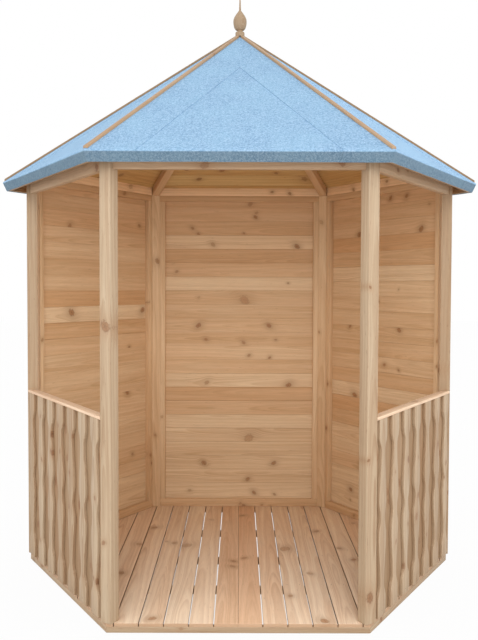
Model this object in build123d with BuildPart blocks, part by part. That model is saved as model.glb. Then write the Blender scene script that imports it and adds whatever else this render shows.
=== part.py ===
# Six-sided timber garden gazebo: boarded floor, three boarded walls, two low
# balustrades with wavy pickets over plain boards, an open front and a felted
# pyramid roof with a turned finial.  +Z is up, the open front faces -Y, and the origin is the
# centre of the floor outline at ground level.  All sizes are in millimetres.
from build123d import *
import os
from math import cos, radians, sin, sqrt, tan

# ---- driving dimensions ----
base_side = 1050.0              # side of the floor hexagon, and its corner radius
plate_height = 1923.0           # top of the wall frames and headers
roof_rise = 692.0               # from there to where the six felt slopes meet
eave_overhang = 125.0           # felt's eaves corners past the floor's corners
eave_drop = 31.5                # felt's eaves edge below the wall frames' tops

# floor
rim_width = 28.0
rim_height = 25.0
deck_thickness = 14.0
deck_pitch = 99.6               # board plus gap
deck_gap = 4.5
deck_centre_gap = 1.5           # the floor comes in two halves
bearer_width = 45.0
bearer_positions = (-465.0, -60.0, 400.0)

# posts and frames
post_size = 52.0
post_standout = 3.0             # the posts' outer faces stand past the floor's corners
frame_depth = 28.0
stile_width = 31.0
top_rail_height = 34.0
bottom_rail_height = 45.0
header_height = 88.0
cladding_thickness = 12.0
cladding_foot = 10.0            # ground clearance of the wall boards
cladding_roof_gap = 3.0         # below the roof boards

# balustrades
balustrade_height = 862.0       # top of the cap rail
cap_thickness = 13.0
cap_overhang = 2.0              # past the pickets, outside
cap_inner_overhang = 2.0        # past the rails, inside
baluster_rail_height = 60.0
baluster_rail_depth = 16.0
picket_count = 7
picket_front_gap = 25.0         # between the front post and the first picket
picket_side_gap = 2.0           # between the last picket and the side post
picket_width = 84.0             # at its straight ends
picket_neck = 40.0
picket_bulge = 78.0
picket_waist = 48.0             # at its middle
picket_thickness = 13.0
picket_foot = 42.0              # height of the pickets' lower ends
picket_straight = 70.0          # straight length at each end of a picket
bulge_share = 0.22              # of the way from the middle to the straight end
neck_share = 0.82
inner_board_thickness = 10.0    # plain boards behind the pickets

# roof
felt_thickness = 3.0
roof_board_thickness = 12.0
flap_drop = 42.0                # the felt's turned-down edge
flap_lean = 18.0                # how far that edge leans in
fascia_thickness = 15.0
fascia_lift = 2.0               # the fascia ends above the felt's lower edge
rafter_inset = 3.5              # a rafter's sides lie back from the posts' flanks
rafter_depth = 57.0             # measured plumb, below the boards
rafter_tail = 12.0              # past the posts' outer faces
fascia_gap = 1.0                # between neighbouring fascia boards at a corner
apex_block_margin = 6.0         # keeps the rafters' upper ends clear of each other
apex_block_height = 120.0
hip_batten_width = 20.0
hip_batten_height = 8.0
hip_batten_margin = 1.0         # keeps the battens clear of each other and of the finial
hip_batten_setback = 9.0        # short of the felt's eaves corners

# finial
dowel_radius = 9.0
dowel_clearance = 1.0
dowel_length = 60.0             # below the collar
collar_radius = 22.5
bulb_radius = 33.0
finial_height = 186.0           # these six are heights above the roof's apex
collar_height = 18.0
neck_height = 26.0
bulb_height = 69.0              # the bulb's widest place
shoulder_height = 102.0         # where the bulb draws in towards the spike
bulb_end_height = 124.0         # foot of the spike
neck_radius = 14.6
shoulder_radius = 20.5
spike_radius = 5.0              # at its foot
tip_radius = 2.5

# ---- worked out from the above ----
apex_height = plate_height + roof_rise
eave_height = plate_height - eave_drop
eave_radius = base_side + eave_overhang
apothem = base_side * cos(radians(30))
deck_top = rim_height + deck_thickness
eave_apothem = eave_radius * cos(radians(30))
face_slope = (apex_height - eave_height) / eave_apothem
hip_slope = (apex_height - eave_height) / eave_radius
face_pitch_cos = 1.0 / sqrt(1.0 + face_slope * face_slope)
felt_plumb = felt_thickness / face_pitch_cos
board_plumb = (felt_thickness + roof_board_thickness) / face_pitch_cos
flap_tilt = flap_lean / flap_drop
felt_level = felt_thickness * sqrt(1.0 + flap_tilt * flap_tilt)
fascia_level = (felt_thickness + fascia_thickness) * sqrt(1.0 + flap_tilt * flap_tilt)
rafter_plumb = board_plumb + rafter_depth
rafter_width = post_size - 2 * rafter_inset
apex_block_apothem = rafter_width / 2 / tan(radians(30)) + apex_block_margin
hip_batten_start = max(hip_batten_width / 2 / tan(radians(30)), collar_radius) + hip_batten_margin
hip_batten_end = eave_radius - hip_batten_setback
sides = {
    "front": -90.0,
    "front_right": -30.0,
    "back_right": 30.0,
    "back": 90.0,
    "back_left": 150.0,
    "front_left": 210.0,
}
corners = {
    "front_right": -60.0,
    "right": 0.0,
    "back_right": 60.0,
    "back_left": 120.0,
    "left": 180.0,
    "front_left": 240.0,
}
walls = ("back", "back_left", "back_right")
open_sides = ("front", "front_left", "front_right")
balustrades = {"left": ("front_left", -1), "right": ("front_right", 1)}

os.makedirs("parts", exist_ok=True)


def save(name, part):
    """Label a finished piece and write it under its node name."""
    part.label = name
    export_step(part, f"parts/{name}.step")


def out_dir(azimuth):
    return Vector(cos(radians(azimuth)), sin(radians(azimuth)), 0)


def along_dir(azimuth):
    return Vector(-sin(radians(azimuth)), cos(radians(azimuth)), 0)


def plan_plane(azimuth, height):
    """Level plane at a side's outline: x runs along the side, y goes inwards."""
    foot = out_dir(azimuth) * apothem
    return Plane(origin=(foot.X, foot.Y, height), x_dir=along_dir(azimuth), z_dir=(0, 0, 1))


def side_plane(azimuth, outwards):
    """Upright plane parallel to a side: x runs along it, y goes up."""
    foot = out_dir(azimuth) * (apothem + outwards)
    return Plane(origin=(foot.X, foot.Y, 0), x_dir=along_dir(azimuth), z_dir=tuple(out_dir(azimuth)))


def section_plane(azimuth):
    """Upright plane through the centre: x runs outwards at azimuth, y goes up."""
    return Plane(origin=(0, 0, 0), x_dir=tuple(out_dir(azimuth)), z_dir=tuple(along_dir(azimuth) * -1))


def end_at(inset, half_post):
    """Half length of a strip that meets the corner posts at a depth inside the outline."""
    return base_side / 2 - inset * tan(radians(30)) - half_post / cos(radians(30))


def strip_outline(inset_out, inset_in, half_post):
    """Plan of a strip along a side, mitred to the posts' flanks."""
    far = end_at(inset_out, half_post)
    near = end_at(inset_in, half_post)
    return [(-far, inset_out), (far, inset_out), (near, inset_in), (-near, inset_in)]


def sector(azimuth, reach):
    """Plan of the sixth of the hexagon that lies under one roof face."""
    left = out_dir(azimuth + 30) * reach
    right = out_dir(azimuth - 30) * reach
    return [(0, 0), (right.X, right.Y), (left.X, left.Y)]


def eave_point(plumb, level):
    """Corner of a section: plumb below the roof's top, level inside the flap's face."""
    inwards = (level + plumb * flap_tilt) / (1.0 + flap_tilt * face_slope)
    return (eave_apothem - inwards, eave_height + face_slope * inwards - plumb)


def flap_point(rise, level):
    """Point on the flap's slope, rise above its lower edge and level inside its face."""
    return (eave_apothem - flap_lean + rise * flap_tilt - level, eave_height - flap_drop + rise)


# ---- floor ----
for side_name, azimuth in sides.items():
    with BuildPart() as rim:
        with BuildSketch(plan_plane(azimuth, 0)):
            Polygon(*strip_outline(0, rim_width, 0), align=None)
        extrude(amount=rim_height)
    save(f"base_rim_{side_name}", rim.part)

with BuildPart() as floor_bearers:
    for position in bearer_positions:
        reach = (base_side * sin(radians(60)) - abs(position) - bearer_width / 2) / tan(radians(60))
        half_length = base_side / 2 + reach - rim_width / cos(radians(30))
        with Locations((0, position, rim_height / 2)):
            Box(2 * half_length, bearer_width, rim_height)
save("floor_bearers", floor_bearers.part)


def deck_half(direction):
    """One half of the floor: boards from front to back, trimmed to the hexagon."""
    with BuildPart() as half:
        with BuildSketch(Plane.XY.offset(rim_height)):
            start = deck_centre_gap / 2
            while start < base_side:
                width = deck_pitch - deck_gap
                with Locations((direction * (start + width / 2), 0)):
                    Rectangle(width, 2 * base_side)
                start += deck_pitch
            RegularPolygon(base_side, 6, mode=Mode.INTERSECT)
        extrude(amount=deck_thickness)
    return half.part


save("deck_boards_left", deck_half(-1))
save("deck_boards_right", deck_half(1))

# ---- corner posts, cut on the slope of the hip rafters above them ----
for corner_name, azimuth in corners.items():
    outer = base_side + post_standout
    inner = outer - post_size
    with BuildPart() as post:
        with BuildSketch(section_plane(azimuth)):
            Polygon(
                (inner, deck_top),
                (outer, deck_top),
                (outer, apex_height - hip_slope * outer - rafter_plumb),
                (inner, apex_height - hip_slope * inner - rafter_plumb),
                align=None,
            )
        extrude(amount=post_size / 2, both=True)
    save(f"corner_post_{corner_name}", post.part)


def strip(azimuth, inset_out, inset_in, bottom, top):
    """A straight member between two posts."""
    with BuildPart() as member:
        with BuildSketch(plan_plane(azimuth, bottom)):
            Polygon(*strip_outline(inset_out, inset_in, post_size / 2), align=None)
        extrude(amount=top - bottom)
    return member.part


# ---- headers over the open sides ----
with BuildPart() as headers:
    for side_name in open_sides:
        add(strip(sides[side_name], 0, frame_depth, plate_height - header_height, plate_height))
save("header_boards", headers.part)

# ---- boarded walls ----
cladding_reach = apothem + cladding_thickness
cladding_top = apex_height - board_plumb - face_slope * cladding_reach - cladding_roof_gap
for side_name in walls:
    azimuth = sides[side_name]
    with BuildPart() as cladding:
        add(strip(azimuth, -cladding_thickness, 0, cladding_foot, cladding_top))
    save(f"{side_name}_wall_boards", cladding.part)

    with BuildPart() as rails:
        add(strip(azimuth, 0, frame_depth, deck_top, deck_top + bottom_rail_height))
        add(strip(azimuth, 0, frame_depth, plate_height - top_rail_height, plate_height))
    save(f"{side_name}_wall_rails", rails.part)

    with BuildPart() as stiles:
        with BuildSketch(plan_plane(azimuth, deck_top + bottom_rail_height)):
            for hand in (-1, 1):
                Polygon(
                    (hand * (end_at(frame_depth, post_size / 2) - stile_width), 0),
                    (hand * end_at(0, post_size / 2), 0),
                    (hand * end_at(frame_depth, post_size / 2), frame_depth),
                    (hand * (end_at(frame_depth, post_size / 2) - stile_width), frame_depth),
                    align=None,
                )
        extrude(amount=plate_height - top_rail_height - deck_top - bottom_rail_height)
    save(f"{side_name}_wall_stiles", stiles.part)

# ---- balustrades ----
picket_top = balustrade_height - cap_thickness


def picket_outline():
    """Outline of one picket, standing on y = 0: straight ends and wavy edges between."""
    middle = (picket_top - picket_foot) / 2
    wavy = middle - picket_straight
    upper = [
        (picket_waist / 2, middle),
        (picket_bulge / 2, middle + bulge_share * wavy),
        (picket_neck / 2, middle + neck_share * wavy),
        (picket_width / 2, middle + wavy),
    ]
    right = [(x, 2 * middle - y) for x, y in reversed(upper[1:])] + upper
    left = [(-x, y) for x, y in reversed(right)]
    half = picket_width / 2
    with BuildSketch() as outline:
        with BuildLine():
            Spline(*right, tangents=[(0, 1)] * len(right))
            Polyline(right[-1], (half, 2 * middle), (-half, 2 * middle), left[0])
            Spline(*left, tangents=[(0, -1)] * len(left))
            Polyline(left[-1], (-half, 0), (half, 0), right[0])
        make_face()
    return outline.sketch


def picket_place(step, hand):
    """Distance of a picket from its side's middle, hand pointing to the side corner."""
    reach = end_at(0, post_size / 2) - picket_width / 2
    first = picket_front_gap - reach
    pitch = (reach - picket_side_gap - first) / (picket_count - 1)
    return hand * (first + step * pitch)


def picket_row(azimuth, hand):
    """Pickets nailed to the outside of the inner boards."""
    outline = picket_outline()
    with BuildPart() as row:
        with BuildSketch(side_plane(azimuth, 0)):
            for step in range(picket_count):
                with Locations((picket_place(step, hand), picket_foot)):
                    add(outline)
        extrude(amount=picket_thickness)
    return row.part


for row_name, (side_name, hand) in balustrades.items():
    save(f"{row_name}_pickets", picket_row(sides[side_name], hand))

with BuildPart() as baluster_rails:
    for side_name, hand in balustrades.values():
        outer = inner_board_thickness
        inner = inner_board_thickness + baluster_rail_depth
        add(strip(sides[side_name], outer, inner, deck_top, deck_top + baluster_rail_height))
        add(strip(sides[side_name], outer, inner, picket_top - baluster_rail_height, picket_top))
save("balustrade_rails", baluster_rails.part)

with BuildPart() as inner_boards:
    for side_name, hand in balustrades.values():
        add(strip(sides[side_name], 0, inner_board_thickness, deck_top, picket_top))
save("balustrade_inner_boards", inner_boards.part)

with BuildPart() as cap_rails:
    for side_name, hand in balustrades.values():
        outer = -(picket_thickness + cap_overhang)
        inner = inner_board_thickness + baluster_rail_depth + cap_inner_overhang
        add(strip(sides[side_name], outer, inner, picket_top, balustrade_height))
save("cap_rails", cap_rails.part)

# ---- roof ----
roof_reach = 2 * eave_radius
dowel_hole = dowel_radius + dowel_clearance


def roof_face(azimuth, points):
    """A section run along one side of the roof and mitred at both hips."""
    with BuildPart() as face:
        with BuildSketch(section_plane(azimuth)):
            Polygon(*points, align=None)
        extrude(amount=eave_radius, both=True)
        with BuildSketch(Plane.XY):
            Polygon(*sector(azimuth, roof_reach), align=None)
        extrude(amount=2 * apex_height, mode=Mode.INTERSECT)
        with BuildSketch(Plane.XY):
            Circle(dowel_hole)
        extrude(amount=2 * apex_height, mode=Mode.SUBTRACT)
    return face.part


for side_name, azimuth in sides.items():
    felt_section = [
        (0, apex_height),
        eave_point(0, 0),
        flap_point(0, 0),
        flap_point(0, felt_level),
        eave_point(felt_plumb, felt_level),
        (0, apex_height - felt_plumb),
    ]
    save(f"roof_felt_{side_name}", roof_face(azimuth, felt_section))
    board_section = [
        (0, apex_height - felt_plumb),
        eave_point(felt_plumb, felt_level),
        eave_point(board_plumb, felt_level),
        (0, apex_height - board_plumb),
    ]
    save(f"roof_boards_{side_name}", roof_face(azimuth, board_section))


def fascia_board(azimuth):
    """Leaning board that backs the felt's turned-down edge."""
    with BuildPart() as board:
        with BuildSketch(section_plane(azimuth)):
            Polygon(
                eave_point(board_plumb, felt_level),
                flap_point(fascia_lift, felt_level),
                flap_point(fascia_lift, fascia_level),
                eave_point(board_plumb, fascia_level),
                align=None,
            )
        extrude(amount=eave_radius, both=True)
        with BuildSketch(Plane.XY):
            corner = out_dir(azimuth) * (fascia_gap / 2 / sin(radians(30)))
            left = corner + out_dir(azimuth + 30) * roof_reach
            right = corner + out_dir(azimuth - 30) * roof_reach
            Polygon((corner.X, corner.Y), (right.X, right.Y), (left.X, left.Y), align=None)
        extrude(amount=2 * apex_height, mode=Mode.INTERSECT)
    return board.part


def roof_plate(azimuth):
    """Ring board on top of the wall, bevelled to the underside of the roof boards."""
    with BuildPart() as plate:
        with BuildSketch(plan_plane(azimuth, plate_height)):
            Polygon(*strip_outline(0, frame_depth, post_size / 2), align=None)
        extrude(amount=apex_height - plate_height)
        with BuildSketch(section_plane(azimuth)):
            Polygon(
                (0, 0),
                (apothem, 0),
                (apothem, apex_height - face_slope * apothem - board_plumb),
                (0, apex_height - board_plumb),
                align=None,
            )
        extrude(amount=base_side, both=True, mode=Mode.INTERSECT)
    return plate.part


with BuildPart() as fascia_boards:
    for azimuth in sides.values():
        add(fascia_board(azimuth))
save("fascia_boards", fascia_boards.part)

with BuildPart() as roof_plates:
    for azimuth in sides.values():
        add(roof_plate(azimuth))
save("roof_plates", roof_plates.part)


def hip_member(azimuth, width, low, high, start, end):
    """A bar along a hip: low and high are plumb distances from the ridge of the hip,
    and on its bedded side the section follows the two roof faces."""
    slope_down = out_dir(azimuth) - Vector(0, 0, hip_slope)
    fall = face_slope * width / 4
    bedded_high = high > 0
    if bedded_high:
        section = [(-width / 2, low - fall), (0, low), (width / 2, low - fall)]
        section += [(width / 2, high), (-width / 2, high)]
    else:
        section = [(-width / 2, low), (width / 2, low), (width / 2, high - fall)]
        section += [(0, high), (-width / 2, high - fall)]
    with BuildPart() as member:
        plane = Plane(
            origin=(0, 0, apex_height),
            x_dir=tuple(along_dir(azimuth)),
            z_dir=tuple(out_dir(azimuth)),
        )
        with BuildSketch(plane):
            Polygon(*section, align=None)
        extrude(amount=roof_reach, dir=slope_down)
        with BuildSketch(section_plane(azimuth)):
            Polygon((start, 0), (end, 0), (end, 2 * apex_height), (start, 2 * apex_height), align=None)
        extrude(amount=width, both=True, mode=Mode.INTERSECT)
    return member.part


with BuildPart() as hip_rafters:
    for azimuth in corners.values():
        start = apex_block_apothem
        end = base_side + post_standout + rafter_tail
        add(hip_member(azimuth, rafter_width, -rafter_plumb, -board_plumb, start, end))
save("hip_rafters", hip_rafters.part)

with BuildPart() as hip_battens:
    for azimuth in corners.values():
        start = hip_batten_start
        add(hip_member(azimuth, hip_batten_width, 0, hip_batten_height, start, hip_batten_end))
save("hip_battens", hip_battens.part)

# the finial's collar sits on the felt round the rim of the dowel hole
seat = apex_height - hip_slope * dowel_hole
dowel_foot = seat - dowel_length
block_top = apex_height - board_plumb - face_slope * apex_block_apothem / cos(radians(30))
with BuildPart() as apex_block:
    with BuildSketch(Plane.XY.offset(block_top - apex_block_height)):
        RegularPolygon(apex_block_apothem, 6, major_radius=False, rotation=30)
    extrude(amount=apex_block_height)
    with BuildSketch(Plane.XY.offset(dowel_foot - dowel_clearance)):
        Circle(dowel_hole)
    extrude(amount=dowel_length, mode=Mode.SUBTRACT)
save("apex_block", apex_block.part)

# ---- finial: dowel, collar, neck, bulb and spike ----
tip = apex_height + finial_height
collar_top = apex_height + collar_height
neck_top = apex_height + neck_height
bulb_middle = apex_height + bulb_height
shoulder = apex_height + shoulder_height
bulb_top = apex_height + bulb_end_height
with BuildPart() as finial:
    with BuildSketch(Plane.XZ):
        with BuildLine():
            Polyline(
                (0, dowel_foot),
                (dowel_radius, dowel_foot),
                (dowel_radius, seat),
                (collar_radius, seat),
                (collar_radius, collar_top),
                (neck_radius, neck_top),
            )
            Spline(
                (neck_radius, neck_top),
                (bulb_radius, bulb_middle),
                (shoulder_radius, shoulder),
                (spike_radius, bulb_top),
                tangents=[(1, 0.5), (-0.1, 1)],
            )
            Polyline((spike_radius, bulb_top), (tip_radius, tip), (0, tip), (0, dowel_foot))
        make_face()
    revolve(axis=Axis.Z)
save("finial", finial.part)
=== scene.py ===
from math import atan, cos, pi, radians, sin, sqrt, tan
from random import Random

import bmesh
import bpy
from mathutils import Matrix, Vector, noise


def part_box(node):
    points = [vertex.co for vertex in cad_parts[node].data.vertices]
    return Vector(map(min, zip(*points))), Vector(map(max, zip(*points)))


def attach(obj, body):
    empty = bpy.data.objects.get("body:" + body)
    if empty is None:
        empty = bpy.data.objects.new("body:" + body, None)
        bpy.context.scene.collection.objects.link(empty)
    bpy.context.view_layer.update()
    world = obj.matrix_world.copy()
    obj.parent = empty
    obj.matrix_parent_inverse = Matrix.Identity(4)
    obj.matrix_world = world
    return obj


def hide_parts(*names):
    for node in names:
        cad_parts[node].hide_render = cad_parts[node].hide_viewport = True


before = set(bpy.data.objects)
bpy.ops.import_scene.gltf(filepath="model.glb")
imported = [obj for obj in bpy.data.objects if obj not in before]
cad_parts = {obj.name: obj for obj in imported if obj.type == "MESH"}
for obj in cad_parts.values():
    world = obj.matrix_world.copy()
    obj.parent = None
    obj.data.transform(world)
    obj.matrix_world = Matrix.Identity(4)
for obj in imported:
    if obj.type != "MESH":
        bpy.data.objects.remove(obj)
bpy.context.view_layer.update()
print("frame loaded:", len(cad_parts), "nodes")

# where the building's lines run, in metres, read off the frame
rimLow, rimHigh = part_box("base_rim_front")
postLow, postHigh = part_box("corner_post_right")
headerLow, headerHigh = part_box("header_boards")
feltLow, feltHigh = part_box("roof_felt_front")
wallLow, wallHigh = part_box("back_wall_boards")
blockLow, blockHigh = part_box("apex_block")
finialLow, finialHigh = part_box("finial")

up = Vector((0, 0, 1))
toRight = Vector((1, 0, 0))
toBack = Vector((0, 1, 0))
tan30, cos30, tan60 = tan(radians(30)), cos(radians(30)), tan(radians(60))
apothem = -rimLow.y
side = rimHigh.x - rimLow.x
deckUnder = rimHigh.z
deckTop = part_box("deck_boards_left")[1].z
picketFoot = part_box("left_pickets")[0].z
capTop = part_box("cap_rails")[1].z
postOuter = postHigh.x
postSize = postHigh.y - postLow.y
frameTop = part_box("roof_plates")[0].z

sides = {"front": -90, "front_right": -30, "back_right": 30,
         "back": 90, "back_left": 150, "front_left": 210}
corners = {"front_right": -60, "right": 0, "back_right": 60,
           "back_left": 120, "left": 180, "front_left": 240}
openSides = ("front", "front_left", "front_right")
wallSides = ("back", "back_left", "back_right")
# a balustrade's side, and the hand that starts its row of pickets at the front post
balustrades = {"left": (sides["front_left"], -1), "right": (sides["front_right"], 1)}

# gaps that let timbers meet without touching
fit = {"end": 0.0003, "mitre": 0.0006, "bearer": 0.0005}

# roof sizes that the slopes are worked out from
roof = {
    "felt": 0.003,
    "board": 0.012,
    "rafterDepth": 0.057,
    "fascia": 0.015,
    "fasciaRise": 0.002,        # how far its foot stops above the felt's
    "flapDrop": 0.042,
    "flapLean": 0.018,
    "hole": 0.010,
}
eaveApothem = -feltLow.y
eaveRadius = eaveApothem / cos30
eaveHeight = feltLow.z + roof["flapDrop"]
hipSlope = (feltHigh.z - eaveHeight) / (eaveRadius - roof["hole"])
apex = eaveHeight + hipSlope * eaveRadius
faceSlope = hipSlope / cos30
faceCos = 1 / sqrt(1 + faceSlope ** 2)
faceSin = faceSlope * faceCos
hipLength = sqrt(1 + hipSlope ** 2)
boardPlumb = (roof["felt"] + roof["board"]) / faceCos
rafterPlumb = boardPlumb + roof["rafterDepth"]
flapTilt = roof["flapLean"] / roof["flapDrop"]
feltLevel = roof["felt"] * sqrt(1 + flapTilt ** 2)
fasciaLevel = (roof["felt"] + roof["fascia"]) * sqrt(1 + flapTilt ** 2)


def outDir(azimuth):
    return Vector((cos(radians(azimuth)), sin(radians(azimuth)), 0))


def alongDir(azimuth):
    return Vector((-sin(radians(azimuth)), cos(radians(azimuth)), 0))


def standing(xAxis, yAxis, start):
    turn = Matrix((xAxis, yAxis, xAxis.cross(yAxis))).transposed().to_4x4()
    return Matrix.Translation(start) @ turn


def onSide(azimuth, inwards, across, height):
    # a point measured in from one side of the floor's outline, and along it
    return outDir(azimuth) * (apothem - inwards) + alongDir(azimuth) * across + up * height


def lyingOn(azimuth, height):
    # a timber along one side of the building, its outer face on the floor's outline
    return standing(alongDir(azimuth), up, onSide(azimuth, 0, 0, height))


def endAt(inset):
    # half length of a strip that meets the corner posts' flanks
    return side / 2 - inset * tan30 - postSize / 2 / cos30


# every board is a block in its own grain axes, x along the grain
attributeNames = ("grain", "seed", "look", "knotA", "knotB", "knotC", "knotDark")
knotNames = ("knotA", "knotB", "knotC")
noKnot = (9.0, 9.0, 0.001, 0.0)     # along, across, radius and darkness of one that is out of reach


def newPiece(name):
    piece = {"name": name, "points": [], "faces": [], "random": Random(name)}
    for attributeName in attributeNames:
        piece[attributeName] = []
    return piece


def loopBlock(loops):
    # a closed block: its end loops are faces, and a skin joins each loop to the next
    block = bmesh.new()
    rings = [[block.verts.new(point) for point in loop] for loop in loops]
    block.faces.new(rings[0][::-1])
    block.faces.new(rings[-1])
    for low, high in zip(rings, rings[1:]):
        for index in range(len(low)):
            after = (index + 1) % len(low)
            block.faces.new((low[index], low[after], high[after], high[index]))
    bmesh.ops.recalc_face_normals(block, faces=block.faces)
    return block


def sectionBlock(section, *ends):
    # a section in y and z drawn out along x: each end gives x at y, z
    return loopBlock([[(end(y, z), y, z) for y, z in section] for end in ends])


def evenBlock(section, halfLength):
    # a timber that reaches as far both ways: halfLength is a number, or gives one at y, z
    reach = halfLength if callable(halfLength) else lambda y, z: halfLength
    return sectionBlock(section, lambda y, z: -reach(y, z), reach)


def fittedBlock(section):
    # a timber cut to fit between two posts
    return evenBlock(section, lambda y, z: endAt(-z) - fit["end"])


def outlineBlock(outline, low, high):
    # an outline in x and y with a thickness
    return loopBlock([[(x, y, level) for x, y in outline] for level in (low, high)])


def easeEdges(block, width, segments=2, leastAngle=25):
    sharp = [edge for edge in block.edges if edge.calc_face_angle(0) > radians(leastAngle)]
    bmesh.ops.bevel(block, geom=sharp, offset=width, segments=segments, profile=0.5,
                    affect="EDGES", clamp_overlap=True)
    return block


def narrowFaces(block, ends):
    # corners of a board's sawn ends, square or at 60 degrees, or else of its long narrow faces
    corners = set()
    for face in block.faces:
        if abs(face.normal.z) < 0.1 and (abs(face.normal.x) > 0.48) == ends:
            corners.update(vert.index for vert in face.verts)
    return corners


def addBlock(piece, block, place, tone=0.0, warm=0.0, knots=(), endTone=0.0, edgeShade=0.0, innerPaintedLight=0.0):
    # tone is paler above 0 and darker below, warm is redder above 0, and some faces shift their tone: the
    # sawn ends, the long narrow edges, where a darker shift is painted shade in the gaps, and the inner
    # face, where a paler shift is painted light
    draw = piece["random"]
    seed = (draw.uniform(0, 40), draw.uniform(0, 40), draw.uniform(-0.04, 0.04))
    pithDepth = draw.uniform(0.02, 0.07)
    spots = [tuple(knot) for knot in knots][:len(knotNames)]
    spots += [noKnot] * (len(knotNames) - len(spots))
    first = len(piece["points"])
    block.verts.index_update()
    block.normal_update()
    ends = narrowFaces(block, True) if endTone else ()
    edges = narrowFaces(block, False) if edgeShade else ()
    inner = {vert.index for face in block.faces if face.normal.z > 0.9 for vert in face.verts}
    for vert in block.verts:
        shift = endTone if vert.index in ends else edgeShade if vert.index in edges else 0.0
        shift += innerPaintedLight if vert.index in inner else 0.0
        piece["points"].append(place @ vert.co)
        piece["grain"].append(tuple(vert.co))
        piece["seed"].append(seed)
        piece["look"].append((tone + shift, warm, pithDepth))
        piece["knotDark"].append(tuple(spot[3] for spot in spots))
        for knotName, spot in zip(knotNames, spots):
            piece[knotName].append(spot[:3])
    for face in block.faces:
        piece["faces"].append([first + vert.index for vert in face.verts])
    block.free()


def looseKnots(draw, halfLength, halfWidth, chance, small=0.005, big=0.012):
    # up to three knots at random places on one board
    knots = []
    for attempt in knotNames:
        if draw.random() < chance:
            place = draw.uniform(-0.92, 0.92) * halfLength
            across = draw.uniform(-0.8, 0.8) * halfWidth
            knots.append((place, across, draw.uniform(small, big), draw.uniform(0.45, 1.0)))
    return knots


def boxSection(yLow, yHigh, zLow, zHigh):
    return [(yLow, zLow), (yHigh, zLow), (yHigh, zHigh), (yLow, zHigh)]


def addToScene(name, data):
    body = bpy.data.objects.new(name, data)
    bpy.context.scene.collection.objects.link(body)
    return body


def finishPiece(piece, material, slotName, *nodes):
    mesh = bpy.data.meshes.new(piece["name"])
    mesh.from_pydata(piece["points"], [], piece["faces"])
    for attributeName in attributeNames:
        attribute = mesh.attributes.new(attributeName, "FLOAT_VECTOR", "POINT")
        attribute.data.foreach_set("vector", [n for value in piece[attributeName] for n in value])
    mesh.shade_smooth()
    mesh.set_sharp_from_angle(angle=radians(32))
    mesh.materials.append(material)
    body = addToScene(piece["name"], mesh)
    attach(body, "root")
    if nodes:
        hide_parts(*nodes)


def linear(red, green, blue):
    channels = [value / 255 for value in (red, green, blue)]
    return tuple(c / 12.92 if c < 0.04045 else ((c + 0.055) / 1.055) ** 2.4 for c in channels) + (1,)


def addNode(tree, kind, inputs=None, **settings):
    node = tree.nodes.new(kind)
    for key, value in settings.items():
        setattr(node, key, value)
    for key, value in (inputs or {}).items():
        if isinstance(value, Value):
            tree.links.new(value.socket, node.inputs[key])
        else:
            node.inputs[key].default_value = value
    return node


class Value:
    # a node's output that plain arithmetic works on, with one more node for each step
    def __init__(self, node, output=0):
        self.socket = node.outputs[output]
        self.tree = node.id_data

    def calc(self, operation, *others):
        inputs = dict(enumerate((self, *others)))
        return Value(addNode(self.tree, "ShaderNodeMath", inputs, operation=operation))

    def __add__(self, other):
        return self.calc("ADD", other)

    def __sub__(self, other):
        return self.calc("SUBTRACT", other)

    def __mul__(self, other):
        return self.calc("MULTIPLY", other)

    def __truediv__(self, other):
        return self.calc("DIVIDE", other)

    def ease(self, start, end, fromValue=0.0, toValue=1.0):
        # smooth step from start to end
        inputs = {0: self, 1: start, 2: end, 3: fromValue, 4: toValue}
        return Value(addNode(self.tree, "ShaderNodeMapRange", inputs, interpolation_type="SMOOTHSTEP"))

    def clamped(self):
        return Value(addNode(self.tree, "ShaderNodeClamp", {0: self}))

    def mixed(self, other, factor, blend="MIX"):
        # this colour with another laid over it
        inputs = {0: factor, 6: self, 7: other}
        return Value(addNode(self.tree, "ShaderNodeMix", inputs, data_type="RGBA", blend_type=blend), 2)

    def dimmed(self, factor):
        return self.mixed(join(factor, factor, factor), 1.0, "MULTIPLY")


def blendOf(factor, first, second):
    # two plain colours mixed by a value
    inputs = {0: factor, 6: first, 7: second}
    return Value(addNode(factor.tree, "ShaderNodeMix", inputs, data_type="RGBA"), 2)


def vectorCalc(operation, first, second):
    return Value(addNode(first.tree, "ShaderNodeVectorMath", {0: first, 1: second}, operation=operation))


def patternAt(place, stretch, detail=2.0, roughness=0.5):
    return Value(addNode(place.tree, "ShaderNodeTexNoise", {
        "Vector": vectorCalc("MULTIPLY", place, stretch), "Scale": 1.0,
        "Detail": detail, "Roughness": roughness}))


def readAttribute(tree, name):
    node = addNode(tree, "ShaderNodeAttribute", attribute_name=name, attribute_type="GEOMETRY")
    return Value(node, "Vector")


def split(vector):
    node = addNode(vector.tree, "ShaderNodeSeparateXYZ", {0: vector})
    return [Value(node, axis) for axis in range(3)]


def join(x, y, z):
    return Value(addNode(x.tree, "ShaderNodeCombineXYZ", {0: x, 1: y, 2: z}))


def seededPlace(tree):
    return vectorCalc("ADD", readAttribute(tree, "grain"), readAttribute(tree, "seed"))


def startMaterial(name):
    material = bpy.data.materials.new(name)
    material.use_nodes = True
    material.node_tree.nodes.clear()
    return material, material.node_tree


def endMaterial(tree, colour, roughness, height, strength, distance, more):
    bump = addNode(tree, "ShaderNodeBump", {"Strength": strength, "Distance": distance, "Height": height})
    shader = addNode(tree, "ShaderNodeBsdfPrincipled", {
        "Base Color": colour, "Roughness": roughness, "Normal": Value(bump), **more})
    addNode(tree, "ShaderNodeOutputMaterial", {0: Value(shader)})


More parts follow.
